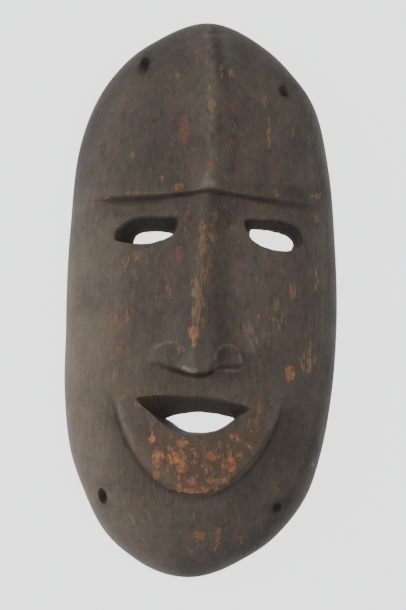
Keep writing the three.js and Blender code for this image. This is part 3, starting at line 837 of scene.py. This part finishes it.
class Nodes:
    """Short calls for building one material."""

    def __init__(self, name):
        self.material = bpy.data.materials.new(name)
        self.material.use_nodes = True
        self.tree = self.material.node_tree
        self.shader = self.tree.nodes["Principled BSDF"]

    def add(self, kind, settings=None, inputs=None, output=0):
        node = self.tree.nodes.new(kind)
        for key, value in (settings or {}).items():
            setattr(node, key, value)
        for key, value in (inputs or {}).items():
            self.put(node.inputs[key], value)
        return node.outputs[output]

    def put(self, socket, value):
        if isinstance(value, bpy.types.NodeSocket):
            self.tree.links.new(value, socket)
        else:
            socket.default_value = value

    def noise(self, scale, detail=2.0, roughness=0.5, stretch=(1, 1, 1), offset=(0, 0, 0)):
        place = self.add("ShaderNodeTexCoord", output="Object")
        place = self.add("ShaderNodeMapping", inputs={"Vector": place, "Location": offset, "Scale": stretch})
        return self.add(
            "ShaderNodeTexNoise",
            inputs={"Vector": place, "Scale": scale, "Detail": detail, "Roughness": roughness},
        )

    def ramp(self, value, low, high, to_low=0.0, to_high=1.0):
        return self.add(
            "ShaderNodeMapRange",
            {"interpolation_type": "SMOOTHSTEP"},
            {"Value": value, "From Min": low, "From Max": high, "To Min": to_low, "To Max": to_high},
        )

    def math(self, operation, a, b=0.0):
        return self.add("ShaderNodeMath", {"operation": operation}, {0: a, 1: b})

    def between(self, share, a, b):
        return self.math("ADD", a, self.math("MULTIPLY", share, self.math("SUBTRACT", b, a)))

    def mix(self, share, a, b):
        node = self.tree.nodes.new("ShaderNodeMix")
        node.data_type = "RGBA"
        self.put(node.inputs[MIX_SHARE], share)
        self.put(node.inputs[MIX_FIRST], a)
        self.put(node.inputs[MIX_SECOND], b)
        return node.outputs[MIX_RESULT]

    def channels(self, attribute):
        """The three channels of a colour attribute."""
        source = self.add("ShaderNodeAttribute", {"attribute_name": attribute}, output="Color")
        node = self.tree.nodes.new("ShaderNodeSeparateColor")
        self.put(node.inputs[0], source)
        return tuple(node.outputs)


def srgb(red, green, blue):
    """A colour given in 0 to 255 screen values."""
    linear = [((c / 255 + 0.055) / 1.055) ** 2.4 if c > 10 else c / 255 / 12.92 for c in (red, green, blue)]
    return (*linear, 1.0)


def wood_material():
    n = Nodes("old_painted_wood")
    grain = n.noise(60, 4, 0.6, stretch=(7, 0.5, 7))
    fine_grain = n.noise(60, 3, 0.6, stretch=(20, 1.4, 20), offset=(3, 0, 0))
    clouds = n.noise(30, 5, 0.65, offset=(0, 5, 0))
    tints = n.noise(45, 3, 0.5, stretch=(1.6, 0.7, 1), offset=(4, 1, 7))
    blots = n.noise(150, 4, 0.6, stretch=(1.4, 0.9, 1.4), offset=(2, 9, 1))
    greys = n.noise(70, 3, 0.55, stretch=(1.3, 0.9, 1), offset=(7, 3, 5))
    specks = n.noise(430, 2, 0.5, stretch=(1.6, 0.6, 1), offset=(9, 2, 0))
    smears = n.noise(13, 4, 0.6, stretch=(1, 1.3, 1), offset=(3, 1, 2))

    # Each tone: its noise, the noise's range, its share at both ends of that range, and its colour
    tones = [
        (smears, 0.36, 0.52, 0.3, 0.0, srgb(62, 55, 48)),
        (smears, 0.5, 0.66, 0.0, 0.35, srgb(98, 90, 79)),
        (clouds, 0.45, 0.65, 0.0, 0.5, srgb(95, 87, 76)),
        (clouds, 0.32, 0.48, 0.4, 0.0, srgb(60, 55, 49)),
        (tints, 0.5, 0.68, 0.0, 0.6, srgb(90, 73, 65)),
        (tints, 0.34, 0.52, 0.65, 0.0, srgb(78, 74, 62)),
        (greys, 0.54, 0.68, 0.0, 0.45, srgb(80, 77, 73)),
        (blots, 0.52, 0.72, 0.0, 0.4, srgb(106, 96, 83)),
        (blots, 0.3, 0.46, 0.45, 0.0, srgb(54, 49, 43)),
        (fine_grain, 0.3, 0.5, 0.25, 0.0, srgb(52, 47, 41)),
        (specks, 0.69, 0.75, 0.0, 0.5, srgb(138, 124, 107)),
    ]
    colour = n.mix(n.ramp(grain, 0.3, 0.7), srgb(70, 63, 55), srgb(87, 79, 69))
    for noise, low, high, share_low, share_high, tone in tones:
        colour = n.mix(n.ramp(noise, low, high, share_low, share_high), colour, tone)

    shade, dust_and_painted_light, wall = n.channels("painted_shade_dust_walls")
    darkening, rubbed_and_highlight, faded = n.channels("age_and_painted_light")
    # Grime and painted shade darken the wood
    colour = n.mix(n.math("MULTIPLY", darkening, n.ramp(clouds, 0.3, 0.7, 1.0, 0.7)), colour, srgb(36, 33, 30))
    # Dusty wood and painted light lighten the left side
    dust_and_light_cover = n.math("MULTIPLY", n.ramp(grain, 0.35, 0.65, 0.7, 1.0), n.ramp(clouds, 0.3, 0.7, 0.3, 0.65))
    colour = n.mix(n.math("MULTIPLY", dust_and_painted_light, dust_and_light_cover), colour, srgb(123, 107, 94))
    # Worn scratches and painted highlights lighten the wood
    rubbed_and_highlight_cover = n.math("MULTIPLY", rubbed_and_highlight, n.ramp(blots, 0.4, 0.6, 0.35, 1.0))
    colour = n.mix(rubbed_and_highlight_cover, colour, srgb(144, 134, 119))
    # Painted shade under the brow, nose and jaw and in the keel's notch
    colour = n.mix(n.math("MULTIPLY", shade, 0.75), colour, srgb(38, 35, 31))
    # The cut walls: dark cut wood with painted shade
    colour = n.mix(n.math("MULTIPLY", wall, 0.9), colour, srgb(36, 35, 33))

    blotches = n.noise(190, 3, 0.6, stretch=(1.5, 1, 1.5), offset=(5, 2, 3))
    streaks = n.noise(150, 4, 0.65, stretch=(4, 1.2, 4), offset=(1, 7, 4))
    threads = n.noise(130, 1, 0.5, stretch=(4.5, 0.9, 4.5), offset=(2, 4, 6))
    crumbs = n.noise(420, 3, 0.65, stretch=(1.2, 0.7, 1.2), offset=(6, 3, 8))
    chips = n.math("ADD", n.math("MULTIPLY", blotches, 0.5), n.math("MULTIPLY", streaks, 0.5))
    chips = n.between(0.3, chips, crumbs)
    flecks = n.ramp(n.between(0.3, threads, crumbs), 0.38, 0.76, 0.1, 1.1)
    worn = n.between(faded, n.ramp(chips, 0.36, 0.64), flecks)
    shift = n.ramp(n.noise(160, 3, 0.6, stretch=(1.4, 1, 1.4), offset=(8, 8, 2)), 0.42, 0.58)
    opacity = n.ramp(faded, 0.0, 1.0, 0.84, 0.5)
    opacity = n.math("MULTIPLY", opacity, n.ramp(crumbs, 0.36, 0.54, 0.45, 1.0))
    opacity = n.math("MULTIPLY", opacity, n.ramp(wall, 0.0, 0.3, 1.0, 0.0))
    stain = n.math("MULTIPLY", n.ramp(faded, 0.0, 1.0, 0.35, 0.0), n.ramp(blots, 0.35, 0.6, 0.3, 1.0))
    colour = n.mix(stain, colour, srgb(92, 70, 53))
    cover = None
    # Each coat: dull, bright and faded
    coats = [
        (srgb(144, 88, 66), srgb(176, 118, 70), srgb(136, 106, 82)),
        (srgb(112, 90, 70), srgb(142, 110, 76), srgb(126, 104, 78)),
        (srgb(112, 62, 54), srgb(126, 80, 64), srgb(104, 70, 60)),
    ]
    for share, (dull, bright, pale) in zip(n.channels("paint"), coats):
        there = n.math("ADD", worn, n.math("MULTIPLY", share, n.ramp(faded, 0.0, 1.0, 1.0, 1.2)))
        colour = n.mix(n.ramp(there, 0.82, 1.25, 0.0, 0.6), colour, srgb(98, 74, 58))
        patch = n.math("MULTIPLY", n.ramp(there, 1.02, 1.46), opacity)
        tint = n.mix(n.ramp(crumbs, 0.52, 0.68, 0.0, 0.45), n.mix(shift, dull, bright), srgb(200, 156, 116))
        tint = n.mix(n.math("MULTIPLY", faded, 0.6), tint, pale)
        colour = n.mix(patch, colour, tint)
        cover = patch if cover is None else n.math("MAXIMUM", cover, patch)
    n.put(n.shader.inputs["Base Color"], colour)
    n.put(n.shader.inputs["Roughness"], n.ramp(grain, 0.3, 0.8, 0.72, 0.92))
    n.put(n.shader.inputs["Specular IOR Level"], 0.35)

    height = grain
    for relief, depth in ((fine_grain, 0.7), (blots, 0.8), (specks, 0.3), (cover, 0.25)):
        height = n.math("ADD", height, n.math("MULTIPLY", relief, depth))
    bump = n.add("ShaderNodeBump", inputs={"Strength": 0.6, "Distance": 0.0005, "Height": height})
    n.put(n.shader.inputs["Normal"], bump)
    return n.material


def floor_material():
    """A pale sheet that also glows, so that the mask throws hardly any shadow."""
    n = Nodes("pale_floor")
    n.put(n.shader.inputs["Base Color"], srgb(124, 124, 124))
    n.put(n.shader.inputs["Roughness"], 0.9)
    n.put(n.shader.inputs["Specular IOR Level"], 0.1)
    n.put(n.shader.inputs["Emission Color"], (0.98, 0.99, 1, 1))
    n.put(n.shader.inputs["Emission Strength"], FLOOR_GLOW)
    return n.material


mask = carve_mask()
mark_surface(mask)
mask.data.materials.clear()
mask.data.materials.append(wood_material())
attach(mask, "root")
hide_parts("mask")

floor_corners = [(-1, -1), (1, -1), (1, 1), (-1, 1)]
floor_places = [(FLOOR_HALF * x, FLOOR_HALF * y, -FLOOR_DROP) for x, y in floor_corners]
floor = mesh_object("floor", floor_places, [[0, 1, 2, 3]])
floor.data.materials.append(floor_material())


def place_camera():
    back = Vector((0, -math.sin(CAMERA_TILT), math.cos(CAMERA_TILT)))
    level = Vector((1, 0, 0))
    upright = Vector((0, math.cos(CAMERA_TILT), math.sin(CAMERA_TILT)))
    right = level * math.cos(CAMERA_ROLL) + upright * math.sin(CAMERA_ROLL)
    up = upright * math.cos(CAMERA_ROLL) - level * math.sin(CAMERA_ROLL)
    camera = bpy.data.objects.new("camera", bpy.data.cameras.new("camera"))
    camera.data.lens = CAMERA_LENS
    turn = Matrix((right, up, back)).transposed().to_4x4()
    position = Vector(CAMERA_AIM) + back * CAMERA_DISTANCE
    camera.matrix_world = Matrix.Translation(position * MM) @ turn
    bpy.context.scene.collection.objects.link(camera)
    bpy.context.scene.camera = camera


def area_light(name, place, side, power):
    light = bpy.data.lights.new(name, "AREA")
    light.shape = "RECTANGLE"
    light.size = side
    light.size_y = side
    light.energy = power
    thing = bpy.data.objects.new(name, light)
    thing.location = place
    thing.rotation_euler = (-Vector(place)).to_track_quat("-Z", "Y").to_euler()
    bpy.context.scene.collection.objects.link(thing)


def light_studio():
    area_light("key", **KEY_LIGHT)
    area_light("fill", **FILL_LIGHT)
    world = bpy.data.worlds.new("studio")
    world.use_nodes = True
    background = world.node_tree.nodes["Background"]
    background.inputs["Color"].default_value = (1, 1, 1, 1)
    background.inputs["Strength"].default_value = SKY_STRENGTH
    bpy.context.scene.world = world


place_camera()
light_studio()
